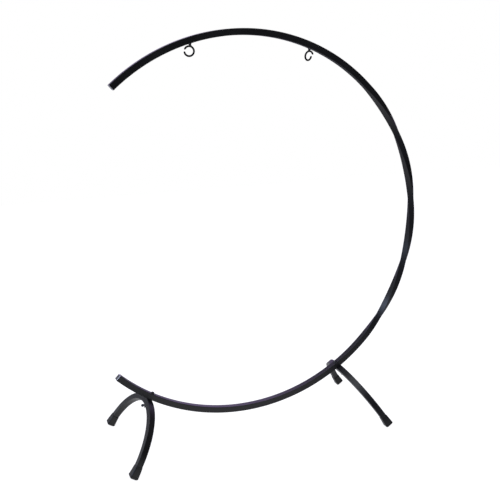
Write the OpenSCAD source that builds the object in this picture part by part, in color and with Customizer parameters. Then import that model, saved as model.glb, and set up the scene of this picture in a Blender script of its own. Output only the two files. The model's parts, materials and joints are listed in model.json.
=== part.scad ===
// Stand for a hanging chair: an open ring of bent square tube with a twisted back,
// two half-circle leg arches clamped under it, and two open hooks under its top.
// The ring lies in the XZ plane. Its open side is the front (-X); +Z is up; the floor is z = 0.
// The origin is the centre of the bounding box's floor side.

/* [Ring] */
// Radius of the ring, to the middle of its tube
ring_r = 985; // [940:5:1040]
// Outside width of the square tube
tube_w = 32; // [30:1:33]
// Wall thickness of the square tube
tube_wall = 2; // [1.5:0.1:2.5]
// Radius of the tube's outside corners
tube_corner = 2; // [1.5:0.5:4]
// Ring angle of the upper open end, from the back, anticlockwise seen from the left side
upper_end = 131.4; // [125:0.1:140]
// Ring angle of the lower open end, the other way round
lower_end = 135.5; // [130:0.1:145]

/* [Twisted back] */
// Ring angle at which the twist ends, above the back
twist_high = 45.7; // [42:0.1:47]
// Ring angle at which the twist ends, below the back
twist_low = 43.5; // [40:0.1:47]
// Full turns that the section makes over the back
twist_turns = 1; // [1:1:2]
// Degrees by which the turn lags an even twist in the middle of the back
twist_lag = 15; // [0:1:20]
// Ring angle of the seams above and below the back tube
seam = 50.4; // [48:0.1:52]

/* [Joint sleeves] */
// Length of each sleeve along the ring
sleeve_length = 160; // [120:10:170]
// Wall thickness of the sleeve
sleeve_wall = 2.5; // [2:0.1:3]
// Gap between the sleeve and the tube's bore, on each side
sleeve_gap = 0.3; // [0.2:0.05:0.5]

/* [Legs] */
// Angle of each leg arch from straight down, about the ring's centre
leg_angle = 33; // [30:0.5:36]
// Bend radius of the leg arch, to the middle of its tube
leg_r = 292; // [280:2:310]
// Half of the angle through which the leg tube bends
leg_half = 88.5; // [84:0.5:90]
// Length of each rubber foot cap
cap_length = 63; // [56:1:90]
// Width of the foot cap at its foot
cap_foot_w = 45; // [42:0.5:48]
// Width of the foot cap at its rim
cap_rim_w = 36.5; // [36:0.5:38]

/* [Leg clamps] */
// Thickness of the nylon spacer between ring and leg
spacer_t = 2; // [1.5:0.5:4]
// Length of the coach bolt under its head
leg_bolt_length = 85; // [85:5:95]
// Diameter of the coach bolt's head
leg_bolt_head_d = 21; // [18:1:22]
// Overall span of the wing nut
wing_span = 44; // [38:1:46]

/* [Hooks] */
// Ring angle of the front hook
front_hook_angle = 105.9; // [100:0.1:112]
// Ring angle of the rear hook
rear_hook_angle = 68.5; // [62:0.1:75]
// Turn of the front hook about its stud
front_hook_turn = -17; // [-180:1:180]
// Turn of the rear hook about its stud
rear_hook_turn = 198; // [0:1:360]
// Diameter of the hook's rod
hook_rod = 9; // [7:0.5:9]
// Radius of the hook's loop, to the middle of the rod
hook_r = 22.5; // [21:0.5:25]
// Depth of the loop's centre below the tube
hook_drop = 32.3; // [32:0.1:36]
// Side step from the stud's axis to the loop's centre
hook_side = 13; // [11:0.5:15]
// Sideways step of the spiral loop from one end to the other
hook_pitch = 12; // [11:0.5:16]

/* [Hidden] */
$fn = 48;

// Finishes
coat = [0.06, 0.06, 0.07];
zinc = [0.72, 0.73, 0.75];
rubber = [0.10, 0.10, 0.11];
nylon = [0.16, 0.16, 0.17];

// M8 thread: the bolts are plain at their outside diameter, and the nuts' bores clear it
bolt_r = 4;
thread_gap = 0.05;
hole_gap = 0.1;
screw_hole_gap = 0.25;
// Space left between pieces of different bodies that bear on each other
bearing_gap = 0.3;
// Space left where a flat piece sits on the hollow side of a bent wall
seat_gap = 0.1;

// Square tube
bore_w = tube_w - 2 * tube_wall;
ring_inside = ring_r - tube_w / 2;
ring_outside = ring_r + tube_w / 2;
corner_steps = 3;

// Back tube: ring angles of its sections, even in the straight ends and closer in the twist
plain_steps = 6;
twist_steps = 84;
back_angles = concat(
    [for (i = [0:plain_steps - 1]) -seam + (seam - twist_low) * i / plain_steps],
    [for (i = [0:twist_steps]) -twist_low + (twist_high + twist_low) * i / twist_steps],
    [for (i = [1:plain_steps]) twist_high + (seam - twist_high) * i / plain_steps]
);

// Joint sleeves: half of each lies in the back tube, and a screw in the right wall holds the other half
sleeve_w = bore_w - 2 * sleeve_gap;
sleeve_corner = 3;
sleeve_half = sleeve_length / 2 / ring_r * 180 / PI;
screw_offset = sleeve_half / 2;
screw_angles = [seam + screw_offset, -seam - screw_offset];
screw_length = 14;
screw_head_d = 14;
screw_head_t = 4.4;
socket_d = 5.8;
socket_depth = 2.6;
weld_nut_d = 15;
weld_nut_t = 6.5;

// Legs: the arch hangs below the spacer
front_leg = 270 - leg_angle;
rear_leg = 270 + leg_angle;
leg_top = ring_outside + spacer_t + bearing_gap;
leg_apex = leg_top + tube_w / 2;
leg_centre = leg_apex + leg_r;
leg_underside = leg_top + tube_w;
spacer_d = 24;

// Foot caps: the sole is rounded, and the floor presses it flat along its low edge
cap_gap = 0.25;
cap_sole = 4;
cap_round = 12;
cap_corner = 6;
cap_lip = 2;
cap_steps = 6;
cap_press = 1.6;
// Stations along a cap's outside: [distance beyond the tube's end, inset of the outline]
cap_outer_stations = concat(
    [[-(cap_length - cap_sole), cap_lip / 2]],
    [for (i = [0:cap_steps])
        [-(cap_length - cap_sole - cap_lip) + (cap_length - cap_lip - cap_round) * i / cap_steps, 0]],
    [for (a = [15:15:90]) [cap_sole - cap_round + cap_round * sin(a), cap_round * (1 - cos(a))]]
);
// Stations along its bore: distance beyond the tube's end
cap_bore_stations = [
    for (i = [0:cap_steps]) -(cap_length - cap_sole) * (1 - i / cap_steps) + cap_gap * i / cap_steps
];
foot_u = leg_centre - leg_r * cos(leg_half) + cap_sole * sin(leg_half);
// Rounding keeps a cap's edge this far inside the corner of its outline, both downwards and outwards
corner_cut = cap_round * (sin(leg_angle) + cos(leg_angle) - 1);
ring_z = foot_u * cos(leg_angle) + cap_foot_w / 2 * sin(leg_angle) - corner_cut - cap_press;

// The ring's centre, placed so that the origin is the middle of the whole length
front_reach = foot_u * sin(leg_angle) + cap_foot_w / 2 * cos(leg_angle) - corner_cut;
rear_reach = max([
    for (a = back_angles, p = rounded_square(tube_w, tube_corner))
        let (t = section_turn(a))
            (ring_r + p.x * cos(t) - p.y * sin(t)) * cos(a)
]);
ring_x = (front_reach - rear_reach) / 2;

// Leg clamp hardware
bolt_head_t = 9;
bolt_neck = 8;
bolt_neck_t = 5;
washer_d = 20;
washer_t = 1.6;
washer_top = leg_underside + 2 * bearing_gap;
nut_top = washer_top + washer_t + bearing_gap;
wing_hub_d = 16;
wing_hub_t = 10;
wing_t = 3.6;
wing_lobe_r = 7.5;
wing_lobe_drop = 13;
// The front wing nut stands at this turn from the ring's plane, and the rear one across it
wing_turn = 37;

// Hooks: the stud turns in a rivet nut and is locked by a thin nut
insert_flange_d = 16;
insert_flange_t = 1.5;
insert_body_r = 5.5;
insert_length = 18;
lock_nut_af = 13;
lock_nut_t = 4;
stud_depth = 16;
loop_tip = -195;
loop_stub = 146;
loop_steps = 36;
rod_sides = 14;
// The loop passes under the stud at this angle, where its spiral step is zero
loop_stud = acos(hook_side / hook_r);
// Both ends of the rod are rounded: half size at the end, nearly full a third of the way in
end_angle = hook_rod / 4 / hook_r * 180 / PI;
end_radii = [hook_rod / 4, hook_rod * 0.42];
// Stations along the loop: [angle, radius of the rod]
loop_stations = concat(
    [[loop_tip, end_radii[0]], [loop_tip + end_angle / 3, end_radii[1]]],
    [for (i = [0:loop_steps])
        [loop_tip + end_angle + (loop_stub - loop_tip - 2 * end_angle) * i / loop_steps, hook_rod / 2]],
    [[loop_stub - end_angle / 3, end_radii[1]], [loop_stub, end_radii[0]]]
);

// ---- shared geometry ----

// Corner points of a square with rounded corners, anticlockwise
function rounded_square(w, r) = [
    for (corner = [0:3], k = [0:corner_steps])
        let (turn = 90 * corner, a = turn + 90 * k / corner_steps, d = w / 2 - r)
            [d * sqrt(2) * cos(turn + 45) + r * cos(a), d * sqrt(2) * sin(turn + 45) + r * sin(a)]
];

// Section of a square tube
module tube_section(w, wall, corner) {
    outer = rounded_square(w, corner);
    inner = rounded_square(w - 2 * wall, max(corner - wall, 1));
    n = len(outer);
    polygon(concat(outer, inner), [[for (i = [0:n - 1]) i], [for (i = [0:n - 1]) n + i]]);
}

// Square tube bent about the ring's centre, from one ring angle to another
module ring_tube(from, to, w, wall, corner) {
    translate([ring_x, 0, ring_z])
        rotate([90, 0, 0])
            rotate([0, 0, from])
                rotate_extrude(angle = to - from, $fn = 180)
                    translate([ring_r, 0])
                        tube_section(w, wall, corner);
}

// Places children with +Z along the ring's radius at an angle, 0 being the ring's centre
module on_radius(angle) {
    translate([ring_x, 0, ring_z])
        rotate([0, 90 - angle, 0])
            children();
}

// The same placing as a function: a point on the radius frame at an angle, in the part's frame
function from_radius(angle, p) = [
    ring_x + p.x * sin(angle) + p.z * cos(angle),
    p.y,
    ring_z - p.x * cos(angle) + p.z * sin(angle)
];

// Triangles of the skin between rings i and i+1 of a sweep with n points a ring
function skin(n, i, first, flip) = [
    for (k = [0:n - 1])
        let (a = first + i * n + k, b = first + i * n + (k + 1) % n, c = a + n, d = b + n)
            each flip ? [[a, c, b], [b, c, d]] : [[a, b, c], [b, d, c]]
];

// Triangles that close a tube's end, between its outer ring and its inner ring
function end_face(n, outer, inner, flip) = [
    for (k = [0:n - 1])
        let (a = outer + k, b = outer + (k + 1) % n, c = inner + k, d = inner + (k + 1) % n)
            each flip ? [[a, b, c], [b, d, c]] : [[a, c, b], [b, c, d]]
];

// Triangles that close a ring of points with a flat or domed cap
function fan(n, first, flip) = [
    for (k = [1:n - 2]) flip ? [first, first + k + 1, first + k] : [first, first + k, first + k + 1]
];

// ---- ring ----

// Square holes in the inner wall and round holes in the outer wall for the leg bolts
module leg_bolt_holes() {
    for (angle = [front_leg, rear_leg])
        on_radius(angle) {
            translate([0, 0, ring_inside])
                cube([bolt_neck + 2 * hole_gap, bolt_neck + 2 * hole_gap, 4 * tube_wall], center = true);
            translate([0, 0, ring_outside - 2 * tube_wall])
                cylinder(r = bolt_r + hole_gap, h = 4 * tube_wall);
        }
}

// Places children in the middle of the ring's tube at an angle, with +Z to the right side
module to_right_side(angle) {
    on_radius(angle)
        translate([0, 0, ring_r])
            rotate([-90, 0, 0])
                children();
}

// Round hole in the right wall for a joint screw
module joint_screw_hole(angle) {
    to_right_side(angle)
        cylinder(r = bolt_r + screw_hole_gap, h = tube_w);
}

module lower_arc_tube() {
    color(coat)
        difference() {
            ring_tube(-lower_end, -seam, tube_w, tube_wall, tube_corner);
            leg_bolt_holes();
            joint_screw_hole(screw_angles[1]);
        }
}

module upper_arc_tube() {
    color(coat)
        difference() {
            ring_tube(seam, upper_end, tube_w, tube_wall, tube_corner);
            joint_screw_hole(screw_angles[0]);
            for (angle = [front_hook_angle, rear_hook_angle])
                on_radius(angle)
                    translate([0, 0, ring_inside - tube_wall])
                        cylinder(r = insert_body_r, h = 3 * tube_wall);
        }
}

// Turn of the section at a ring angle: none in the ends, slower over the twist's upper half
function section_turn(angle) =
    let (x = min(max((twist_high - angle) / (twist_high + twist_low), 0), 1))
        360 * twist_turns * x - twist_lag * sin(180 * x);

// One ring of section points, turned about the tube's middle and set on the ring
function back_ring(angle, section) = [
    for (p = section)
        let (t = section_turn(angle), u = p.x * cos(t) - p.y * sin(t), v = p.x * sin(t) + p.y * cos(t))
            from_radius(angle, [0, v, ring_r + u])
];

module back_twist_tube() {
    outer = rounded_square(tube_w, tube_corner);
    inner = rounded_square(bore_w, max(tube_corner - tube_wall, 1));
    n = len(outer);
    last = len(back_angles) - 1;
    inner_first = n * (last + 1);
    points = concat(
        [for (a = back_angles) each back_ring(a, outer)],
        [for (a = back_angles) each back_ring(a, inner)]
    );
    faces = concat(
        [for (i = [0:last - 1]) each skin(n, i, 0, false)],
        [for (i = [0:last - 1]) each skin(n, i, inner_first, true)],
        end_face(n, 0, inner_first, false),
        end_face(n, n * last, inner_first + n * last, true)
    );
    color(coat)
        polyhedron(points, faces, convexity = 12);
}

// ---- ring joints ----

// Curved sleeve that bridges a seam, with the hole for its screw
module joint_sleeve(seam_angle, screw_angle) {
    color(zinc)
        difference() {
            ring_tube(
                seam_angle - sleeve_half, seam_angle + sleeve_half,
                sleeve_w, sleeve_wall, sleeve_corner
            );
            joint_screw_hole(screw_angle);
        }
}

module lower_joint_sleeve() {
    joint_sleeve(-seam, screw_angles[1]);
}

module upper_joint_sleeve() {
    joint_sleeve(seam, screw_angles[0]);
}

// Hexagonal nut with its axis on Z, its bottom at z = 0
module hex_nut(across_corners, t) {
    difference() {
        cylinder(d = across_corners, h = t, $fn = 6);
        translate([0, 0, -1])
            cylinder(r = bolt_r + thread_gap, h = t + 2);
    }
}

module joint_weld_nuts() {
    color(zinc)
        for (angle = screw_angles)
            to_right_side(angle)
                translate([0, 0, sleeve_w / 2 - sleeve_wall - weld_nut_t])
                    hex_nut(weld_nut_d, weld_nut_t);
}

module joint_screws() {
    color(coat)
        for (angle = screw_angles)
            to_right_side(angle)
                translate([0, 0, tube_w / 2])
                    difference() {
                        union() {
                            translate([0, 0, -screw_length])
                                cylinder(r = bolt_r, h = screw_length + 1);
                            button_head(screw_head_d, screw_head_t);
                        }
                        translate([0, 0, screw_head_t - socket_depth])
                            cylinder(d = socket_d, h = screw_head_t, $fn = 6);
                    }
}

// Low dome with a flat underside at z = 0
module button_head(d, t) {
    // Radius of the sphere through the rim and the crown
    dome_r = (d * d / 4 + t * t) / (2 * t);
    intersection() {
        translate([0, 0, t - dome_r])
            sphere(r = dome_r, $fn = 64);
        cylinder(d = d, h = t, $fn = 64);
    }
}

// ---- legs ----

// Half-circle arch in the plane across the ring, with its bolt holes
module leg_tube(angle) {
    color(coat)
        on_radius(angle)
            difference() {
                translate([0, 0, leg_centre])
                    rotate([0, 90, 0])
                        rotate([0, 0, -leg_half])
                            rotate_extrude(angle = 2 * leg_half, $fn = 180)
                                translate([leg_r, 0])
                                    tube_section(tube_w, tube_wall, tube_corner);
                translate([0, 0, leg_top - 2 * tube_wall])
                    cylinder(r = bolt_r + hole_gap, h = tube_w + 4 * tube_wall);
            }
}

module front_leg_tube() {
    leg_tube(front_leg);
}

module rear_leg_tube() {
    leg_tube(rear_leg);
}

// Outer width of a foot cap at a distance s from its rim
function cap_width(s) = cap_rim_w + (cap_foot_w - cap_rim_w) * s / cap_length;

// One ring of points of a foot cap, s beyond the tube's end, pressed flat where it meets the floor
function cap_ring(angle, side, s, section) =
    let (a = side * (leg_half + min(s, 0) / leg_r * 180 / PI), past = max(s, 0)) [
        for (p = section)
            let (
                r = leg_r + p.x,
                y = r * sin(a) + side * past * cos(a),
                u = leg_centre - r * cos(a) + side * past * sin(a),
                world = from_radius(angle, [p.y, y, u])
            )
                [world.x, world.y, max(world.z, 0)]
    ];

module foot_cap(angle, side) {
    n = 4 * (corner_steps + 1);
    outer_last = len(cap_outer_stations) - 1;
    bore_last = len(cap_bore_stations) - 1;
    bore_first = n * (outer_last + 1);
    points = concat(
        [for (s = cap_outer_stations)
            each cap_ring(angle, side, s[0],
                rounded_square(cap_width(s[0] + cap_length - cap_sole) - 2 * s[1], cap_corner - s[1] / 3))],
        [for (s = cap_bore_stations)
            each cap_ring(angle, side, s, rounded_square(tube_w + 2 * cap_gap, tube_corner + cap_gap))]
    );
    out = side > 0;
    faces = concat(
        [for (i = [0:outer_last - 1]) each skin(n, i, 0, out)],
        [for (i = [0:bore_last - 1]) each skin(n, i, bore_first, !out)],
        end_face(n, 0, bore_first, out),
        fan(n, n * outer_last, out),
        fan(n, bore_first + n * bore_last, !out)
    );
    color(rubber)
        polyhedron(points, faces, convexity = 8);
}

module front_left_foot_cap() {
    foot_cap(front_leg, -1);
}

module front_right_foot_cap() {
    foot_cap(front_leg, 1);
}

module rear_left_foot_cap() {
    foot_cap(rear_leg, -1);
}

module rear_right_foot_cap() {
    foot_cap(rear_leg, 1);
}

// ---- leg clamps ----

// Flat ring with its axis on Z, its bottom at z = 0
module washer(d, hole_r, t) {
    difference() {
        cylinder(d = d, h = t, $fn = 64);
        translate([0, 0, -1])
            cylinder(r = hole_r, h = t + 2);
    }
}

module leg_spacer(angle) {
    color(nylon)
        on_radius(angle)
            translate([0, 0, ring_outside])
                washer(spacer_d, bolt_r + hole_gap, spacer_t);
}

module front_leg_spacer() {
    leg_spacer(front_leg);
}

module rear_leg_spacer() {
    leg_spacer(rear_leg);
}

// Coach bolt: domed head inside the ring, square neck in the ring's wall, shank through the leg
module leg_bolt(angle) {
    color(coat)
        on_radius(angle) {
            translate([0, 0, ring_inside - seat_gap])
                mirror([0, 0, 1])
                    button_head(leg_bolt_head_d, bolt_head_t);
            translate([-bolt_neck / 2, -bolt_neck / 2, ring_inside - 1])
                cube([bolt_neck, bolt_neck, bolt_neck_t + 1]);
            translate([0, 0, ring_inside])
                cylinder(r = bolt_r, h = leg_bolt_length);
        }
}

module front_leg_bolt() {
    leg_bolt(front_leg);
}

module rear_leg_bolt() {
    leg_bolt(rear_leg);
}

module leg_washer(angle) {
    color(zinc)
        on_radius(angle)
            translate([0, 0, washer_top])
                washer(washer_d, bolt_r + hole_gap, washer_t);
}

module front_leg_washer() {
    leg_washer(front_leg);
}

module rear_leg_washer() {
    leg_washer(rear_leg);
}

// Wing nut: hub against the washer, two wings that flare away from it
module wing_nut(angle, turn) {
    lobe_x = wing_span / 2 - wing_lobe_r;
    color(coat)
        on_radius(angle)
            translate([0, 0, nut_top])
                rotate([0, 0, turn])
                    difference() {
                        union() {
                            cylinder(d = wing_hub_d, h = wing_hub_t);
                            for (side = [0, 180])
                                rotate([0, 0, side])
                                    wing(lobe_x);
                        }
                        translate([0, 0, -1])
                            cylinder(r = bolt_r + thread_gap, h = wing_lobe_drop + wing_lobe_r + 2);
                    }
}

// One wing: a round lobe on a web that rises from the hub
module wing(lobe_x) {
    rotate([90, 0, 0])
        translate([0, 0, -wing_t / 2])
            linear_extrude(wing_t)
                union() {
                    translate([lobe_x, wing_lobe_drop])
                        circle(r = wing_lobe_r);
                    polygon([
                        [bolt_r, 1],
                        [wing_hub_d / 2, 1],
                        [lobe_x + wing_lobe_r * cos(20), wing_lobe_drop - wing_lobe_r * sin(20)],
                        [lobe_x - wing_lobe_r * cos(30), wing_lobe_drop + wing_lobe_r * sin(30)],
                        [bolt_r, wing_hub_t - 1]
                    ]);
                }
}

module front_wing_nut() {
    wing_nut(front_leg, wing_turn);
}

module rear_wing_nut() {
    wing_nut(rear_leg, wing_turn + 90);
}

// ---- hooks ----

// Point on the spiral loop's centre line, in the hook's frame: the stud is on Z, the tube's face at z = 0
function loop_point(a) = [
    hook_r * cos(a) - hook_side,
    hook_pitch * (a - loop_stud) / (loop_stub - loop_tip),
    hook_r * sin(a) - hook_drop
];

// Ring of points round the loop's centre line, square to it
function loop_ring(a, r) =
    let (
        c = loop_point(a),
        step = hook_pitch / (loop_stub - loop_tip) * 180 / PI,
        across = sqrt(hook_r * hook_r + step * step)
    ) [
        for (k = [0:rod_sides - 1])
            let (t = 360 * k / rod_sides, p = r * cos(t), q = r * sin(t))
                c + p * [cos(a), 0, sin(a)] + q * [step * sin(a), hook_r, -step * cos(a)] / across
    ];

module hook_loop() {
    n = rod_sides;
    last = len(loop_stations) - 1;
    points = [for (s = loop_stations) each loop_ring(s[0], s[1])];
    faces = concat(
        [for (i = [0:last - 1]) each skin(n, i, 0, true)],
        fan(n, 0, false),
        fan(n, n * last, true)
    );
    polyhedron(points, faces, convexity = 6);
}

// Hook: spiral loop welded to a threaded stud
module hook(angle, turn) {
    stud_low = hook_r * sin(loop_stud) - hook_drop;
    color(coat)
        on_radius(angle)
            translate([0, 0, ring_inside])
                rotate([0, 0, turn])
                    union() {
                        hook_loop();
                        translate([0, 0, stud_low])
                            cylinder(r = bolt_r, h = stud_depth - stud_low);
                    }
}

module front_hook() {
    hook(front_hook_angle, front_hook_turn);
}

module rear_hook() {
    hook(rear_hook_angle, rear_hook_turn);
}

// Rivet nut: its flange lies on the ring's inner face, its body stands in the bore
module hook_insert(angle) {
    color(zinc)
        on_radius(angle)
            translate([0, 0, ring_inside])
                difference() {
                    union() {
                        translate([0, 0, -insert_flange_t - seat_gap])
                            cylinder(d = insert_flange_d, h = insert_flange_t);
                        translate([0, 0, -insert_flange_t - seat_gap])
                            cylinder(r = insert_body_r - seat_gap, h = insert_length);
                    }
                    translate([0, 0, -insert_length])
                        cylinder(r = bolt_r + thread_gap, h = 3 * insert_length);
                }
}

module front_hook_insert() {
    hook_insert(front_hook_angle);
}

module rear_hook_insert() {
    hook_insert(rear_hook_angle);
}

module hook_lock_nut(angle) {
    color(coat)
        on_radius(angle)
            translate([0, 0, ring_inside - insert_flange_t - 2 * seat_gap - lock_nut_t])
                hex_nut(lock_nut_af / cos(30), lock_nut_t);
}

module front_hook_lock_nut() {
    hook_lock_nut(front_hook_angle);
}

module rear_hook_lock_nut() {
    hook_lock_nut(rear_hook_angle);
}

lower_arc_tube();
back_twist_tube();
upper_arc_tube();
lower_joint_sleeve();
upper_joint_sleeve();
joint_weld_nuts();
joint_screws();
front_leg_tube();
rear_leg_tube();
front_left_foot_cap();
front_right_foot_cap();
rear_left_foot_cap();
rear_right_foot_cap();
front_leg_spacer();
rear_leg_spacer();
front_leg_bolt();
rear_leg_bolt();
front_leg_washer();
rear_leg_washer();
front_wing_nut();
rear_wing_nut();
front_hook();
rear_hook();
front_hook_insert();
rear_hook_insert();
front_hook_lock_nut();
rear_hook_lock_nut();
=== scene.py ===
"""Looks of the hammock stand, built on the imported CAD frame. Units are metres, +Z is up."""

import json
import math

import bmesh
import bpy
from mathutils import Matrix, Vector

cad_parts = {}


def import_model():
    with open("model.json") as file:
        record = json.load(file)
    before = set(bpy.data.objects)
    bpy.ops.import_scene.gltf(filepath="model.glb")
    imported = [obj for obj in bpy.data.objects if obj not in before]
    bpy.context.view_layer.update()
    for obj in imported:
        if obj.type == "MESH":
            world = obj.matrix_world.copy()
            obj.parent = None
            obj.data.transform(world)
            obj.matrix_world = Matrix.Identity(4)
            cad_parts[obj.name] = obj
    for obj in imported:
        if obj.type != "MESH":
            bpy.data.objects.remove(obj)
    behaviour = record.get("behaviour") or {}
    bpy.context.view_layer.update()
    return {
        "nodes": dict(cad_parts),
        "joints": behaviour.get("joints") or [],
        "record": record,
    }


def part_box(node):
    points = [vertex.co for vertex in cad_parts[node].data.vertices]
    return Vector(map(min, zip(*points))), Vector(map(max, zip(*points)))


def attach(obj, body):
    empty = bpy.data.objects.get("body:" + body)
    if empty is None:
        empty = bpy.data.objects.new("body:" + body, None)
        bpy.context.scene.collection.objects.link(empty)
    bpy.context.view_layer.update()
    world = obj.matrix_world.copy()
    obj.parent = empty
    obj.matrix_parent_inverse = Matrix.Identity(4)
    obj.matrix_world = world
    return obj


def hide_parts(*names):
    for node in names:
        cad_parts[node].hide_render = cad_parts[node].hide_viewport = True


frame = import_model()

MM = 0.001
ENDS = ("front", "rear")
SIDES = (("left", -1), ("right", 1))
JOINTS = {joint["name"]: joint for joint in frame["joints"]}


# ---- where the frame puts things ----

def ring_centre():
    """The two leg swivels' axes cross at the ring's centre."""
    swivels = [JOINTS[end + "_leg_swivel"] for end in ENDS]
    (p, a), (q, b) = [(Vector(joint["pos_m"]), Vector(joint["axis"])) for joint in swivels]
    gap = q - p
    along = (gap.x * b.z - gap.z * b.x) / (a.x * b.z - a.z * b.x)
    return p + a * along


def ring_angle(point):
    return math.atan2(point[2] - RING.z, point[0] - RING.x)


def span(node):
    """First and last ring angle of a CAD node of the ring."""
    angles = [ring_angle(v.co) for v in frame["nodes"][node].data.vertices]
    return min(angles), max(angles)


RING = ring_centre()
RING_OUTSIDE = (Vector(JOINTS["front_leg_swivel"]["pos_m"]) - RING).length
TUBE = 2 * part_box("lower_arc_tube")[1][1]
RING_R = RING_OUTSIDE - TUBE / 2
RING_INSIDE = RING_OUTSIDE - TUBE
LEG = {end: ring_angle(JOINTS[end + "_leg_swivel"]["pos_m"]) for end in ENDS}
HOOK = {end: ring_angle(JOINTS[end + "_hook_turn"]["pos_m"]) for end in ENDS}
LOWER, BACK, UPPER = [span(node) for node in ("lower_arc_tube", "back_twist_tube", "upper_arc_tube")]


# ---- sizes, as in the CAD ----

# Space between pieces that bear on each other, and under a flat piece on a bent wall
BEARING_GAP, SEAT_GAP = 0.3 * MM, 0.1 * MM

# M8 thread, and the bores round it
BOLT, PITCH = 4 * MM, 1.25 * MM
CLEAR_BORE, STUD_BORE = 4.1 * MM, 4.05 * MM

# Square tube
WALL, CORNER = 2 * MM, 2 * MM
BORE, BORE_CORNER = TUBE - 2 * WALL, 1 * MM

# Back tube: the ring angles between which it twists, and how far its turn lags an even twist
TWIST_HIGH, TWIST_LOW = math.radians(45.7), math.radians(-43.5)
TWIST_LAG = math.radians(15)

# Joint screws: halfway along the half of each sleeve that lies outside the back tube
SLEEVE_HALF = 80 * MM / RING_R
SCREW_ANGLES = (UPPER[0] + SLEEVE_HALF / 2, LOWER[1] - SLEEVE_HALF / 2)
SCREW_HEAD_W, SCREW_HEAD_T, SCREW_LENGTH = 14 * MM, 4.4 * MM, 14 * MM

# Leg clamps, from the ring outwards: spacer, leg, washer, wing nut
SPACER_R, SPACER_T = 12 * MM, 2 * MM
WASHER_R, WASHER_T = 10 * MM, 1.6 * MM
LEG_TOP = RING_OUTSIDE + SPACER_T + BEARING_GAP
WASHER_TOP = LEG_TOP + TUBE + 2 * BEARING_GAP
NUT_TOP = WASHER_TOP + WASHER_T + BEARING_GAP
BOLT_HEAD_W, BOLT_HEAD_T = 21 * MM, 9 * MM
BOLT_NECK_R, BOLT_NECK_T = 1.38 * BOLT, 5 * MM
BOLT_LENGTH, BOLT_PLAIN = 85 * MM, 55 * MM
WING_LOBE_X, WING_LOBE_DROP, WING_LOBE_R = 14.5 * MM, 13 * MM, 7.5 * MM
WING_TURN = {"front": math.radians(37), "rear": math.radians(127)}

# Leg arches and foot caps
LEG_R = 292 * MM
LEG_CENTRE = LEG_TOP + TUBE / 2 + LEG_R
LEG_HALF = math.radians(88.5)
CAP_LENGTH, CAP_SOLE = 63 * MM, 4 * MM
CAP_RIM_W, CAP_FOOT_W = 36.5 * MM, 45 * MM
CAP_CORNER, CAP_ROUND = 6 * MM, 12 * MM

# Hooks: rod radius, then the loop's radius, its centre's depth and side step, its pitch and its two ends
ROD = 4.5 * MM
HOOK_R, HOOK_DROP, HOOK_SIDE, HOOK_PITCH = 22.5 * MM, 32.3 * MM, 13 * MM, 12 * MM
HOOK_TIP, HOOK_STUB = math.radians(-195), math.radians(146)
HOOK_TURN = {"front": math.radians(-17), "rear": math.radians(198)}

# Hook studs: depth into the ring, the rivet nut's flange and the thin nut
STUD_DEPTH = 16 * MM
FLANGE_R, FLANGE_T = 8 * MM, 1.5 * MM
THIN_NUT_FLATS, THIN_NUT_T = 13 * MM, 4 * MM


def on_radius(angle, height=0.0, turn=0.0):
    """Frame with +Z along the ring's radius at an angle, 'height' from the ring's centre."""
    c, s = math.cos(angle), math.sin(angle)
    axes = Matrix(((s, 0, c, 0), (0, 1, 0, 0), (-c, 0, s, 0), (0, 0, 0, 1)))
    lift = Matrix.Translation((0, 0, height)) @ Matrix.Rotation(turn, 4, "Z")
    return Matrix.Translation(RING) @ axes @ lift


# ---- mesh building ----

class Shape:
    """Points and faces of one piece. 'wear' is 1 at points on an outside edge."""

    def __init__(self):
        self.points, self.faces, self.wear = [], [], []

    def loft(self, rings, loop=False, wear=None):
        """Skin over rings of points. Open ends are closed with a fan about their middle."""
        n, first = len(rings[0]), len(self.points)
        for i, ring in enumerate(rings):
            self.points += [Vector(p) for p in ring]
            self.wear += list(wear[i]) if wear else [0.0] * n
        pairs = [(i, i + 1) for i in range(len(rings) - 1)]
        if loop:
            pairs.append((len(rings) - 1, 0))
        for i, j in pairs:
            here, there = first + i * n, first + j * n
            for k in range(n):
                m = (k + 1) % n
                self.faces.append((here + k, here + m, there + m, there + k))
        if not loop:
            for i in (0, len(rings) - 1):
                middle = sum((Vector(p) for p in rings[i]), Vector()) / n
                self.points.append(middle)
                self.wear.append(0.0)
                hub = len(self.points) - 1
                for k in range(n):
                    self.faces.append((first + i * n + k, first + i * n + (k + 1) % n, hub))

    def revolve(self, profile, place, n=48, loop=True, reshape=None):
        """Turn a profile of (radius, height) round +Z of a frame. reshape(r, h, angle) gives the radius and
        height of each point."""
        rings = []
        for r, h in profile:
            ring = []
            for k in range(n):
                a = math.tau * k / n
                reach, height = reshape(r, h, a) if reshape else (r, h)
                ring.append(place @ Vector((reach * math.cos(a), reach * math.sin(a), height)))
            rings.append(ring)
        self.loft(rings, loop=loop)

    def build(self, name):
        """Object with smooth normals, weighted towards its large faces."""
        mesh = bpy.data.meshes.new(name)
        mesh.from_pydata(self.points, [], self.faces)
        bm = bmesh.new()
        bm.from_mesh(mesh)
        layer = bm.verts.layers.float.new("wear")
        for v, w in zip(bm.verts, self.wear):
            v[layer] = w
        bmesh.ops.recalc_face_normals(bm, faces=bm.faces)
        for f in bm.faces:
            f.smooth = True
        bm.to_mesh(mesh)
        bm.free()
        piece = bpy.data.objects.new(name, mesh)
        bpy.context.scene.collection.objects.link(piece)
        soft = piece.modifiers.new("normals", "WEIGHTED_NORMAL")
        soft.weight = 75
        return piece


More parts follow.
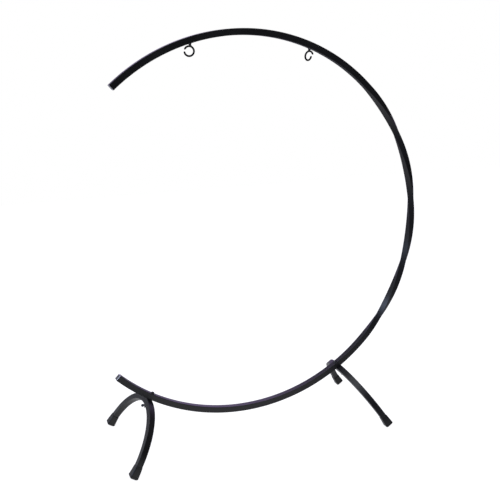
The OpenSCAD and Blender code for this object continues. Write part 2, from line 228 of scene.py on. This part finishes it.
def rounded_square(w, r, steps=5):
    """Section points (x, y, wear) of a square with rounded corners and a support point beside each."""
    section = []
    d, flat = w / 2 - r, min(1.6 * MM, w / 4)
    for corner in range(4):
        turn = corner * math.pi / 2
        c, s = math.cos(turn), math.sin(turn)
        quarter = [(d + r, d - flat, 0.0)]
        for k in range(steps + 1):
            a = math.pi / 2 * k / steps
            quarter.append((d + r * math.cos(a), d + r * math.sin(a), math.sin(2 * a) ** 0.5))
        quarter.append((d - flat, d + r, 0.0))
        section += [(c * x - s * y, s * x + c * y, wear) for x, y, wear in quarter]
    return section


def ramp(first, last, count):
    """count + 1 even steps from first to last."""
    return [first + (last - first) * i / count for i in range(count + 1)]


# Outline of a tube's end in mm: (depth into the tube, cut from its width)
SAWN_END = ((0, 0.7), (0.5, 0))
FILED_END = ((0, 3.5), (0.1, 2.6), (0.35, 1.6), (0.8, 0.75), (1.4, 0.25), (2.2, 0))


def square_tube(name, place, first, last, radius, count, filed=()):
    """Hollow square tube along place(t); 'radius' turns a length into t. An end in 'filed' (0 or 1) is
    rounded over and left as bare steel, like the bore."""
    ends = []
    for k, t in enumerate((first, last)):
        into = (1 if k == 0 else -1) * MM / radius
        outline = FILED_END if k in filed else SAWN_END
        ends.append([(t + into * deep, TUBE - cut * MM, k in filed) for deep, cut in outline])
    start, stop = ends[0][-1][0], ends[1][-1][0]
    outside = ends[0] + [(t, TUBE, False) for t in ramp(start, stop, count)[1:-1]] + ends[1][::-1]
    mouth = BORE + 0.4 * MM
    inside = [(t, BORE, True) for t in ramp(stop, start, count)]
    inside = [(last, mouth, True)] + inside + [(first, mouth, True)]
    rings, wear, bare = [], [], []
    for i, (t, w, is_bare) in enumerate(outside + inside):
        section = rounded_square(w, CORNER if w > BORE + MM else BORE_CORNER)
        at = place(t)
        rings.append([at @ Vector((x, y, 0)) for x, y, _ in section])
        in_bore, at_edge = i >= len(outside), w < TUBE
        wear.append([0.0 if in_bore else 1.0 if at_edge else v for _, _, v in section])
        bare += [is_bare] * len(section)
    shape = Shape()
    shape.loft(rings, loop=True, wear=wear)
    piece = shape.build(name)
    piece.data.materials.append(MATERIALS["coated_steel"])
    piece.data.materials.append(CUT_STEEL)
    for face in piece.data.polygons:
        face.material_index = int(all(bare[v] for v in face.vertices))
    return piece


def ring_place(angle, turn=0.0):
    """Section frame on the ring: x is radial, y is across, turned about the tube's middle."""
    radial_x = Matrix(((0, 0, 1, 0), (0, 1, 0, 0), (1, 0, 0, 0), (0, 0, 0, 1)))
    return on_radius(angle, RING_R) @ radial_x @ Matrix.Rotation(turn, 4, "Z")


def twist_place(angle):
    """Section frame of the back tube: one full turn between the twist's two ends."""
    x = min(max((TWIST_HIGH - angle) / (TWIST_HIGH - TWIST_LOW), 0), 1)
    return ring_place(angle, math.tau * x - TWIST_LAG * math.sin(math.pi * x))


def leg_place(end):
    """Section frames along a leg arch, as a function of the angle from the arch's top."""
    base = on_radius(LEG[end], LEG_CENTRE)

    def place(angle):
        s, c = math.sin(angle), math.cos(angle)
        return base @ Matrix(((0, 1, 0, 0), (s, 0, c, LEG_R * s), (-c, 0, s, -LEG_R * c), (0, 0, 0, 1)))
    return place


# Outline of a foot cap in mm: (depth from the rim, width beyond the tube's) before and after the lip's
# quarter round, and the groove above the sole: (distance beyond the tube's end, cut from the width)
CAP_MOUTH = [(3, -0.4), (0.2, 0.3), (0, 1), (0, 3)]
CAP_LIP = [(0.2 + 1.3 * t, 3.4 + 1.5 * math.sin(t * math.pi / 2)) for t in ramp(0, 1, 4)]
CAP_NECK = [(5, 5.0), (5.8, 4.6)]
CAP_GROOVE = [(-13, 0.4), (-12.4, 1.2), (-11.6, 1.2), (-11, 0.2)]
# Stations beyond the tube's end: the rim, where the flare starts, and either side of the groove
CAP_RIM_AT = CAP_SOLE - CAP_LENGTH
CAP_FLARE_AT = CAP_RIM_AT + 6.6 * MM
CAP_ABOVE_GROOVE, CAP_BELOW_GROOVE = -13.6 * MM, -10.2 * MM


def cap_flare(s):
    """Width of a foot cap at a distance beyond the tube's end."""
    return CAP_RIM_W + (CAP_FOOT_W - CAP_RIM_W) * (s - CAP_RIM_AT) / CAP_LENGTH


def cap_profile():
    """Stations of a foot cap, from inside its rim to its sole: (distance beyond the tube's end, width)."""
    profile = [(CAP_RIM_AT + deep * MM, TUBE + more * MM) for deep, more in CAP_MOUTH + CAP_LIP + CAP_NECK]
    profile += [(s, cap_flare(s)) for s in ramp(CAP_FLARE_AT, CAP_ABOVE_GROOVE, 16)]
    profile += [(s * MM, cap_flare(s * MM) - cut * MM) for s, cut in CAP_GROOVE]
    profile += [(s, cap_flare(s)) for s in ramp(CAP_BELOW_GROOVE, CAP_SOLE - CAP_ROUND, 2)]
    for a in ramp(0.1, math.pi / 2, 12):
        s = CAP_SOLE - CAP_ROUND * (1 - math.sin(a))
        profile.append((s, cap_flare(0) - 2 * CAP_ROUND * (1 - math.cos(a))))
    return profile


def foot_cap(name, end, side):
    """Rubber ferrule: lip at the rim, slight flare, groove above the sole, pressed flat by the floor."""
    place, end_angle = leg_place(end), side * LEG_HALF
    tangent = place(end_angle).to_3x3() @ Vector((0, 0, 1)) * side
    rings, wear = [], []
    for s, w in cap_profile():
        at = place(end_angle + side * min(s, 0) / LEG_R)
        section = rounded_square(w, min(CAP_CORNER, w / 4.5), 6)
        ring = [at @ Vector((x, y, 0)) + tangent * max(s, 0) for x, y, _ in section]
        rings.append([Vector((p.x, p.y, max(p.z, 0.0))) for p in ring])
        on_lip = abs(s - CAP_RIM_AT - 1.5 * MM) < 1 * MM
        wear.append([v * 0.6 + (0.4 if on_lip else 0) for _, _, v in section])
    shape = Shape()
    shape.loft(rings, wear=wear)
    return shape.build(name)


def arc(cx, cy, r, first, last, count=5):
    """Points of a circular arc between two angles in degrees."""
    angles = ramp(math.radians(first), math.radians(last), count)
    return [(cx + r * math.cos(a), cy + r * math.sin(a)) for a in angles]


def disc_ring(outer, inner, low, high, ease):
    """Closed profile of a flat ring with rounded outer edges."""
    half = ease / 2
    return (arc(outer - ease, low + ease, ease, -90, 0) + arc(outer - ease, high - ease, ease, 0, 90)
            + [(inner + half, high), (inner, high - half), (inner, low + half), (inner + half, low)])


def thread(shape, place, low, high):
    """60 degree thread between two heights, with a tapered start at its high end."""
    start = 1.2 * MM

    def cut(r, h, a):
        phase = (h / PITCH - a / math.tau) % 1.0
        depth = 0.55 * MM * (1 - abs(2 * phase - 1)) ** 0.8
        taper = max(0.0, (h - high + start) / start)
        return r - min(depth + 0.7 * MM * taper, 1.1 * MM), h
    count = max(8, int((high - low) / PITCH * 8))
    shape.revolve([(BOLT, z) for z in ramp(low, high, count)], place, n=28, loop=False, reshape=cut)


def off_flat(angle):
    """Angle from the middle of the nearest side of a hexagon."""
    return (angle + math.pi / 6) % (math.pi / 3) - math.pi / 6


def hex_nut(name, place, across_flats, low, high, bore):
    """Hexagon nut with turned chamfers on both faces."""
    rim = across_flats / 2 * 0.97
    slope = math.tan(math.radians(30))
    side = across_flats

    def hexagon(r, h, a):
        """The profile's points at the radius 'side' go to the hexagon's sides, below its chamfers."""
        if r != side:
            return r, h
        reach = across_flats / 2 / math.cos(off_flat(a))
        drop = (reach - rim) * slope
        return reach, (low + drop if h == low else high - drop)
    ease = 0.5 * MM
    profile = [(rim, low), (side, low), (side, high), (rim, high),
               (bore + ease, high), (bore, high - ease), (bore, low + ease), (bore + ease, low)]
    shape = Shape()
    shape.revolve(profile, place, n=72, reshape=hexagon)
    return shape.build(name)


def dome(d, t, ease=0.7 * MM):
    """Profile from beside the axis over a low dome to its flat underside; its rim is eased."""
    r = (d * d / 4 + t * t) / (2 * t)
    half = math.asin(d / 2 / r)
    top = [(r * math.sin(a), t - r + r * math.cos(a)) for a in ramp(0.004, half * 0.95, 12)]
    rim = d / 2
    return top + [(rim - 0.05 * MM, ease), (rim, ease * 0.6), (rim - 0.2 * MM, 0.1 * MM), (rim - 0.5 * MM, 0)]


def coach_bolt(name, end):
    """Domed head on the ring's inner wall, square neck, plain shank and thread."""
    shape = Shape()
    inward = on_radius(LEG[end], RING_INSIDE - SEAT_GAP) @ Matrix.Rotation(math.pi, 4, "X")
    shape.revolve(dome(BOLT_HEAD_W, BOLT_HEAD_T, 1.0 * MM), inward, n=64, loop=False)
    out = on_radius(LEG[end], RING_INSIDE)
    diagonal = out @ Matrix.Rotation(math.pi / 4, 4, "Z")
    shape.revolve([(BOLT_NECK_R, 0), (BOLT_NECK_R, BOLT_NECK_T)], diagonal, n=4, loop=False)
    shape.revolve([(BOLT, 0), (BOLT, BOLT_PLAIN)], out, n=32, loop=False)
    thread(shape, out, BOLT_PLAIN, BOLT_LENGTH)
    return shape.build(name)


# Wing nut in mm: the hub's section (radius, height), a wing's edge before and after its round lobe
# (distance from the axis, height), and a wing's thickness (distance from its middle, inset of the edge)
HUB_FOOT = [(4.3, 0.4), (4.8, 0), (7.4, 0), (8, 0.5)]
HUB_CROWN = [(7.7, 2.5), (6.9, 8.2), (6.6, 9.4), (6, 10), (4.8, 10), (4.3, 9.6)]
WING_WEB = [(4.8, 1.2), (7.6, 1.2), (11, 2.6), (15.4, 4.8)]
WING_ROOT = [(5.6, 10.4), (4.8, 9.2)]
WING_THICKNESS = [(-1.8, 0.9), (-1.7, 0.35), (-1.2, 0), (1.2, 0), (1.7, 0.35), (1.8, 0.9)]


def wing_outline(side):
    """Closed outline of one wing in its own plane: x outwards, z along the bolt."""
    outline = [(x * MM, z * MM) for x, z in WING_WEB]
    outline += arc(WING_LOBE_X, WING_LOBE_DROP, WING_LOBE_R, -60, 160, 22)
    outline += [(x * MM, z * MM) for x, z in WING_ROOT]
    return [(side * x, z) for x, z in outline]


def wing_nut(name, end):
    """Tapered hub with two round-edged wings."""
    shape = Shape()
    place = on_radius(LEG[end], NUT_TOP, WING_TURN[end])
    shape.revolve([(r * MM, h * MM) for r, h in HUB_FOOT + HUB_CROWN], place)
    for side in (1, -1):
        outline = [Vector(p) for p in wing_outline(side)]
        middle = sum(outline, Vector((0, 0))) / len(outline)
        rings = []
        for y, inset in WING_THICKNESS:
            ring = []
            for p in outline:
                p = p - (p - middle).normalized() * inset * MM
                ring.append(place @ Vector((p.x, y * MM, p.y)))
            rings.append(ring)
        shape.loft(rings)
    return shape.build(name)


LOOP_UNDER_STUD = math.acos(HOOK_SIDE / HOOK_R)
LOOP_STEP = HOOK_PITCH / (HOOK_STUB - HOOK_TIP)


def loop_point(angle):
    """Point on the loop's centre line: its side step is zero where it passes under the stud."""
    step = LOOP_STEP * (angle - LOOP_UNDER_STUD)
    return Vector((HOOK_R * math.cos(angle) - HOOK_SIDE, step, HOOK_R * math.sin(angle) - HOOK_DROP))


def loop_ring(angle, scale, sides=24):
    """Points round the loop's rod, at a part of its full radius."""
    across = Vector((LOOP_STEP * math.sin(angle), HOOK_R, -LOOP_STEP * math.cos(angle))).normalized()
    radial = Vector((math.cos(angle), 0, math.sin(angle)))
    centre = loop_point(angle)
    return [centre + ROD * scale * (math.cos(t) * radial + math.sin(t) * across)
            for t in ramp(0, math.tau, sides)[:-1]]


def weld_ripple(r, h, angle):
    """Ripples of a weld bead, tilted as the rod passes at a slant under the stud."""
    return r + 0.25 * MM * math.sin(13 * angle), h + 1.1 * MM * math.cos(angle + math.pi / 2)


def hook(name, end):
    """Open spiral of round rod with domed ends, welded to a threaded stud."""
    place = on_radius(HOOK[end], RING_INSIDE, HOOK_TURN[end])
    ease = ROD / HOOK_R
    swell = ramp(0.12, math.pi / 2, 7)[:-1]
    tip = [(HOOK_TIP + ease * (1 - math.cos(b)), math.sin(b)) for b in swell]
    inner = [(angle, 1.0) for angle in ramp(HOOK_TIP + ease, HOOK_STUB - ease, 96)]
    stub = [(HOOK_STUB - ease * (1 - math.cos(b)), math.sin(b)) for b in swell[::-1]]
    shape = Shape()
    shape.loft([[place @ p for p in loop_ring(angle, scale)] for angle, scale in tip + inner + stub])
    low = loop_point(LOOP_UNDER_STUD).z
    thread(shape, place, low, STUD_DEPTH)
    weld = arc(4.1 * MM, low + 3.6 * MM, 1.5 * MM, 0, 360, 10)[:-1]
    shape.revolve(weld, place, n=52, reshape=weld_ripple)
    return shape.build(name)


def joint_screws(name):
    """Button-head screws with hexagon sockets in the ring's right wall."""
    socket, bottom, brim = 2.5 * MM, 1.8 * MM, 3.9 * MM
    hole = [(0.4 * MM, bottom), (socket, bottom), (socket, brim), (socket + 0.3 * MM, brim + 0.25 * MM)]
    head = [(r, h) for r, h in dome(SCREW_HEAD_W, SCREW_HEAD_T) if r > 3.3 * MM]
    shank = [(BOLT, 0), (BOLT, -SCREW_LENGTH)]

    def hexagon(r, h, a):
        """Only the socket's points are moved out to its six sides."""
        return (r if r > 2.9 * MM else r / math.cos(off_flat(a))), h
    shape = Shape()
    for angle in SCREW_ANGLES:
        to_right = Matrix.Rotation(-math.pi / 2, 4, "X") @ Matrix.Translation((0, 0, TUBE / 2))
        place = on_radius(angle, RING_R) @ to_right
        shape.revolve(hole + head + shank, place, loop=False, reshape=hexagon)
    return shape.build(name)


# ---- materials ----

class Nodes:
    """Short helper over one material's node tree."""

    def __init__(self, name):
        self.material = bpy.data.materials.new(name)
        self.material.use_nodes = True
        self.tree = self.material.node_tree
        self.shader = self.tree.nodes["Principled BSDF"]
        self.place = self.add("ShaderNodeTexCoord").outputs["Object"]

    def add(self, kind, **values):
        """New node; each value sets the input of that name, or else the property."""
        node = self.tree.nodes.new(kind)
        for key, value in values.items():
            if key in node.inputs:
                node.inputs[key].default_value = value
            else:
                setattr(node, key, value)
        return node

    def link(self, source, target):
        self.tree.links.new(source, target)

    def noise(self, scale, detail=3.0, stretch=None):
        """Noise in object space, with 'scale' cycles a metre; 'stretch' multiplies it by axis."""
        node = self.add("ShaderNodeTexNoise", Scale=scale, Detail=detail)
        source = self.place
        if stretch:
            mapping = self.add("ShaderNodeMapping", Scale=stretch)
            self.link(source, mapping.inputs["Vector"])
            source = mapping.outputs["Vector"]
        self.link(source, node.inputs["Vector"])
        return node.outputs["Fac"]

    def remap(self, source, low, high, to_low, to_high):
        """Clamped straight line through (low, to_low) and (high, to_high)."""
        node = self.add("ShaderNodeMapRange")
        for i, value in enumerate((low, high, to_low, to_high), 1):
            node.inputs[i].default_value = value
        self.link(source, node.inputs[0])
        return node.outputs[0]

    def math(self, operation, a, b):
        """Arithmetic on two numbers or sockets."""
        node = self.add("ShaderNodeMath", operation=operation)
        for socket, value in zip(node.inputs, (a, b)):
            if isinstance(value, (int, float)):
                socket.default_value = value
            else:
                self.link(value, socket)
        return node.outputs[0]

    def blend(self, factor, a, b):
        """Colour between a and b, each a colour or a socket."""
        node = self.add("ShaderNodeMix", data_type="RGBA")
        self.link(factor, node.inputs["Factor"])
        colours = {socket.name: socket for socket in node.inputs if socket.type == "RGBA"}
        for key, value in (("A", a), ("B", b)):
            if isinstance(value, tuple):
                colours[key].default_value = (*value, 1)
            else:
                self.link(value, colours[key])
        return [socket for socket in node.outputs if socket.type == "RGBA"][0]

    def bump(self, *layers):
        """Stacks bumps: each layer is (height socket, depth in metres)."""
        normal = None
        for height, depth in layers:
            node = self.add("ShaderNodeBump", Strength=1.0, Distance=depth)
            self.link(height, node.inputs["Height"])
            if normal:
                self.link(normal, node.inputs["Normal"])
            normal = node.outputs["Normal"]
        self.link(normal, self.shader.inputs["Normal"])

    def edges(self, scale, low, high):
        """Worn edges: the 'wear' attribute broken up by noise."""
        wear = self.add("ShaderNodeAttribute", attribute_name="wear").outputs["Fac"]
        return self.remap(self.math("MULTIPLY", wear, self.noise(scale, 5.0)), low, high, 0.0, 1.0)


def powder_coat(name="black_powder_coat", ior=1.45, rougher=0.0):
    """Semi-gloss black powder coat: orange peel, uneven gloss, edges rubbed a little paler."""
    m = Nodes(name)
    worn = m.edges(38.0, 0.46, 0.66)
    cloud = m.noise(9.0, 4.0)
    base = m.blend(m.remap(cloud, 0.35, 0.65, 0.0, 1.0), (0.0062, 0.0064, 0.0072), (0.0092, 0.0094, 0.0104))
    m.link(m.blend(worn, base, (0.034, 0.034, 0.036)), m.shader.inputs["Base Color"])
    gloss = m.remap(cloud, 0.3, 0.7, 0.33 + rougher, 0.42 + rougher)
    m.link(m.math("ADD", gloss, m.math("MULTIPLY", worn, 0.08)), m.shader.inputs["Roughness"])
    m.shader.inputs["IOR"].default_value = ior
    m.bump((m.noise(420.0, 2.0), 0.06 * MM), (m.noise(1500.0, 1.0), 0.01 * MM))
    return m.material


def zinc_plate():
    """Bright zinc with turned streaks and a dull bloom."""
    m = Nodes("zinc_plate")
    bloom = m.noise(60.0, 5.0)
    m.link(m.blend(m.remap(bloom, 0.3, 0.7, 0.0, 1.0), (0.62, 0.63, 0.66), (0.48, 0.49, 0.51)),
           m.shader.inputs["Base Color"])
    m.shader.inputs["Metallic"].default_value = 1.0
    m.link(m.remap(bloom, 0.3, 0.7, 0.28, 0.5), m.shader.inputs["Roughness"])
    m.bump((m.noise(300.0, 3.0, (1, 1, 9)), 0.02 * MM))
    return m.material


def cut_steel():
    """Steel left bare where the tube was sawn and filed: bright, with fine streaks."""
    m = Nodes("cut_steel")
    bloom = m.noise(90.0, 4.0)
    m.link(m.blend(m.remap(bloom, 0.35, 0.7, 0.0, 1.0), (0.92, 0.93, 0.95), (0.80, 0.80, 0.81)),
           m.shader.inputs["Base Color"])
    m.shader.inputs["Metallic"].default_value = 1.0
    m.link(m.remap(bloom, 0.3, 0.7, 0.34, 0.46), m.shader.inputs["Roughness"])
    m.bump((m.noise(500.0, 3.0, (1, 9, 1)), 0.01 * MM))
    return m.material


def rubber():
    """Moulded black rubber: fine grain, scuffed paler on its edges."""
    m = Nodes("moulded_rubber")
    scuff = m.edges(70.0, 0.40, 0.62)
    base = m.blend(m.noise(14.0, 4.0), (0.0035, 0.0036, 0.0043), (0.007, 0.0072, 0.008))
    m.link(m.blend(scuff, base, (0.02, 0.02, 0.022)), m.shader.inputs["Base Color"])
    m.link(m.remap(m.noise(25.0, 4.0), 0.3, 0.7, 0.27, 0.38), m.shader.inputs["Roughness"])
    m.shader.inputs["IOR"].default_value = 1.42
    m.bump((m.noise(900.0, 3.0), 0.05 * MM))
    return m.material


def nylon():
    """Moulded black nylon, satin."""
    m = Nodes("moulded_nylon")
    tone = m.blend(m.noise(30.0, 3.0), (0.028, 0.028, 0.031), (0.045, 0.045, 0.05))
    m.link(tone, m.shader.inputs["Base Color"])
    m.link(m.remap(m.noise(120.0, 3.0), 0.3, 0.7, 0.4, 0.55), m.shader.inputs["Roughness"])
    m.bump((m.noise(800.0, 2.0), 0.02 * MM))
    return m.material


# One finish for each material slot of the record, and two that only the fine meshes have
MATERIALS = {"coated_steel": powder_coat(), "zinc_steel": zinc_plate(), "foot_rubber": rubber(),
             "spacer_nylon": nylon()}
CUT_STEEL = cut_steel()
HOOK_COAT = powder_coat("black_hook_coat", 1.25, 0.15)
SLOT = {row["node"]: row["material_slot"] for row in frame["record"]["subparts"]}


# ---- pieces ----

def body_of(node):
    """Name of the body that a CAD node is part of."""
    for body, nodes in frame["record"]["behaviour"]["bodies"].items():
        if node in nodes:
            return body


def stand_for(piece, node):
    """The fine mesh takes its CAD node's body and, if it has no finish yet, the finish of the node's slot."""
    if not piece.data.materials:
        piece.data.materials.append(MATERIALS[SLOT[node]])
    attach(piece, body_of(node))
    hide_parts(node)


def turned(name, place, profile):
    """Piece made of one closed profile turned round a frame's +Z."""
    shape = Shape()
    shape.revolve(profile, place, n=64)
    return shape.build(name)


def ring_pieces():
    """The ring's three tubes and its screws, by the CAD node that each stands for."""
    return {
        "lower_arc_tube": square_tube("lower_arc", ring_place, *LOWER, RING_R, 120, filed=(0,)),
        "back_twist_tube": square_tube("back_twist", twist_place, *BACK, RING_R, 220),
        "upper_arc_tube": square_tube("upper_arc", ring_place, *UPPER, RING_R, 120, filed=(1,)),
        "joint_screws": joint_screws("joint_button_screws"),
    }


def leg_pieces(end):
    """A leg arch, its two foot caps and its clamp, by CAD node."""
    base = on_radius(LEG[end])
    spacer = disc_ring(SPACER_R, CLEAR_BORE, RING_OUTSIDE, RING_OUTSIDE + SPACER_T, 0.4 * MM)
    washer = disc_ring(WASHER_R, CLEAR_BORE, WASHER_TOP, WASHER_TOP + WASHER_T, 0.3 * MM)
    pieces = {"leg_tube": square_tube(end + "_leg_arch", leg_place(end), -LEG_HALF, LEG_HALF, LEG_R, 120)}
    for word, side in SIDES:
        pieces[word + "_foot_cap"] = foot_cap(f"{end}_{word}_ferrule", end, side)
    pieces["leg_spacer"] = turned(end + "_leg_nylon_spacer", base, spacer)
    pieces["leg_washer"] = turned(end + "_leg_flat_washer", base, washer)
    pieces["leg_bolt"] = coach_bolt(end + "_leg_coach_bolt", end)
    pieces["wing_nut"] = wing_nut(end + "_cast_wing_nut", end)
    return {f"{end}_{node}": piece for node, piece in pieces.items()}


def hook_pieces(end):
    """A hook, its rivet nut and its thin nut, by CAD node."""
    base = on_radius(HOOK[end], RING_INSIDE)
    flange = disc_ring(FLANGE_R, STUD_BORE, -FLANGE_T - SEAT_GAP, -SEAT_GAP, 0.35 * MM)
    high = -FLANGE_T - 2 * SEAT_GAP
    low = high - THIN_NUT_T
    pieces = {
        "hook": hook(end + "_spiral_hook", end),
        "hook_insert": turned(end + "_hook_rivet_nut", base, flange),
        "hook_lock_nut": hex_nut(end + "_hook_thin_nut", base, THIN_NUT_FLATS, low, high, STUD_BORE),
    }
    for node in ("hook", "hook_lock_nut"):
        pieces[node].data.materials.append(HOOK_COAT)
    return {f"{end}_{node}": piece for node, piece in pieces.items()}


made = ring_pieces()
for end in ENDS:
    made.update(leg_pieces(end))
    made.update(hook_pieces(end))
for node, piece in made.items():
    stand_for(piece, node)
for node, item in frame["nodes"].items():
    if node not in made:
        item.data.materials.clear()
        item.data.materials.append(MATERIALS[SLOT[node]])


# ---- camera, floor and light ----

# Camera fitted to the photograph: lens and sensor width in mm, yaw, pitch and roll in degrees, and place
# from the ring's centre in ring radii
LENS, SENSOR = 53.9, 36
CAMERA_TURN = (20.703, -14.938, -0.796)
CAMERA_PLACE = Vector((-1.3235, -3.5630, 0.9111))

# Floor: half size, depth under the feet, grey, and glow as the camera sees it. In reflections the glow
# falls off round a middle, between two (distance, glow) pairs
FLOOR_HALF, FLOOR_DROP = 7, 0.5 * MM
FLOOR_GREY, FLOOR_TO_CAMERA = 0.3, 0.93
GLOW_MIDDLE, GLOW_NEAR, GLOW_FAR = (-0.9, 0.1, 0), (0.2, 0.66), (3.0, 0.05)

# Room that the reflections see: base colour, and lights (azimuth, elevation, half width in degrees,
# radiance, colour)
ROOM = (0.045, 0.043, 0.042)
LIGHTS = (
    (-160, 28, 15, 4.2, (0.72, 0.86, 1.25)),
    (165, 8, 45, 0.50, (0.95, 0.97, 1.1)),
    (68, 22, 22, 1.15, (1.05, 0.80, 1.5)),
)
SOFTBOX_PLACE, SOFTBOX_SIZE, SOFTBOX_POWER = Vector((0.0, -0.8, 4.6)), 2.6, 90


def camera():
    """Camera at the photograph's angle."""
    data = bpy.data.cameras.new("camera")
    item = bpy.data.objects.new("camera", data)
    bpy.context.scene.collection.objects.link(item)
    data.sensor_width, data.lens = SENSOR, LENS
    yaw, pitch, roll = (math.radians(a) for a in CAMERA_TURN)
    ahead = Vector((math.sin(yaw) * math.cos(pitch), math.cos(yaw) * math.cos(pitch), math.sin(pitch)))
    level = Vector((math.cos(yaw), -math.sin(yaw), 0))
    up = level.cross(ahead)
    across = level * math.cos(roll) + up * math.sin(roll)
    up = up * math.cos(roll) - level * math.sin(roll)
    turn = Matrix((across, up, -ahead)).transposed().to_4x4()
    item.matrix_world = Matrix.Translation(RING + RING_R * CAMERA_PLACE) @ turn
    bpy.context.scene.camera = item


def floor_material():
    """Pale floor: white to the camera with a faint shadow, darker in reflections away from its middle."""
    material = bpy.data.materials.new("pale_floor")
    material.use_nodes = True
    tree = material.node_tree
    shader = tree.nodes["Principled BSDF"]
    shader.inputs["Base Color"].default_value = (FLOOR_GREY, FLOOR_GREY, FLOOR_GREY, 1)
    shader.inputs["Roughness"].default_value = 1.0
    shader.inputs["Specular IOR Level"].default_value = 0.0
    shader.inputs["Emission Color"].default_value = (1, 1, 1, 1)
    place = tree.nodes.new("ShaderNodeTexCoord")
    reach = tree.nodes.new("ShaderNodeVectorMath")
    reach.operation = "DISTANCE"
    reach.inputs[1].default_value = GLOW_MIDDLE
    fall = tree.nodes.new("ShaderNodeMapRange")
    fall.interpolation_type = "SMOOTHSTEP"
    (near, bright), (far, dim) = GLOW_NEAR, GLOW_FAR
    for i, value in enumerate((near, far, bright, dim), 1):
        fall.inputs[i].default_value = value
    path = tree.nodes.new("ShaderNodeLightPath")
    glow = tree.nodes.new("ShaderNodeMix")
    glow.inputs["B"].default_value = FLOOR_TO_CAMERA
    tree.links.new(place.outputs["Object"], reach.inputs[0])
    tree.links.new(reach.outputs["Value"], fall.inputs[0])
    tree.links.new(path.outputs["Is Camera Ray"], glow.inputs["Factor"])
    tree.links.new(fall.outputs[0], glow.inputs["A"])
    tree.links.new(glow.outputs["Result"], shader.inputs["Emission Strength"])
    return material


def floor():
    """Square floor under the stand, in none of its bodies."""
    shape = Shape()
    corners = ((-1, -1), (1, -1), (1, 1), (-1, 1))
    shape.points = [Vector((x * FLOOR_HALF, y * FLOOR_HALF, -FLOOR_DROP)) for x, y in corners]
    shape.faces, shape.wear = [(0, 1, 2, 3)], [0.0] * 4
    item = shape.build("floor")
    item.data.materials.append(floor_material())


def softbox():
    """Square light above the stand, turned to the middle of the floor."""
    data = bpy.data.lights.new("top_softbox", "AREA")
    data.shape, data.energy = "RECTANGLE", SOFTBOX_POWER
    data.size = data.size_y = SOFTBOX_SIZE
    item = bpy.data.objects.new("top_softbox", data)
    bpy.context.scene.collection.objects.link(item)
    item.location = SOFTBOX_PLACE
    item.rotation_euler = (-SOFTBOX_PLACE).to_track_quat("-Z", "Y").to_euler()
    item.visible_camera = False


def direction(azimuth, elevation):
    """Unit vector at an azimuth and elevation in degrees."""
    a, e = math.radians(azimuth), math.radians(elevation)
    return math.cos(a) * math.cos(e), math.sin(a) * math.cos(e), math.sin(e)


def world():
    """White behind the object for the camera. Reflections see a dim room with soft lights in it."""
    scene_world = bpy.data.worlds.new("studio")
    bpy.context.scene.world = scene_world
    scene_world.use_nodes = True
    tree = scene_world.node_tree
    room = tree.nodes["Background"]
    place = tree.nodes.new("ShaderNodeTexCoord").outputs["Generated"]
    unit = tree.nodes.new("ShaderNodeVectorMath")
    unit.operation = "NORMALIZE"
    tree.links.new(place, unit.inputs[0])
    total = None
    for azimuth, elevation, width, radiance, colour in LIGHTS:
        facing = tree.nodes.new("ShaderNodeVectorMath")
        facing.operation = "DOT_PRODUCT"
        facing.inputs[1].default_value = direction(azimuth, elevation)
        tree.links.new(unit.outputs[0], facing.inputs[0])
        clamp, power = tree.nodes.new("ShaderNodeMath"), tree.nodes.new("ShaderNodeMath")
        clamp.operation, power.operation = "MAXIMUM", "POWER"
        clamp.inputs[1].default_value = 0.0
        power.inputs[1].default_value = math.log(0.5) / math.log(math.cos(math.radians(width)))
        tree.links.new(facing.outputs["Value"], clamp.inputs[0])
        tree.links.new(clamp.outputs[0], power.inputs[0])
        tint = tree.nodes.new("ShaderNodeVectorMath")
        tint.operation = "MULTIPLY_ADD"
        tint.inputs[1].default_value = [radiance * c for c in colour]
        tint.inputs[2].default_value = ROOM
        tree.links.new(power.outputs[0], tint.inputs[0])
        if total:
            tree.links.new(total, tint.inputs[2])
        total = tint.outputs[0]
    tree.links.new(total, room.inputs["Color"])
    lit = tree.nodes.new("ShaderNodeBackground")
    lit.inputs["Color"].default_value = (1, 1, 1, 1)
    mix = tree.nodes.new("ShaderNodeMixShader")
    path = tree.nodes.new("ShaderNodeLightPath")
    tree.links.new(path.outputs["Is Camera Ray"], mix.inputs[0])
    tree.links.new(room.outputs[0], mix.inputs[1])
    tree.links.new(lit.outputs[0], mix.inputs[2])
    tree.links.new(mix.outputs[0], tree.nodes["World Output"].inputs["Surface"])


camera()
world()
floor()
softbox()
bpy.context.scene.view_settings.view_transform = "Standard"
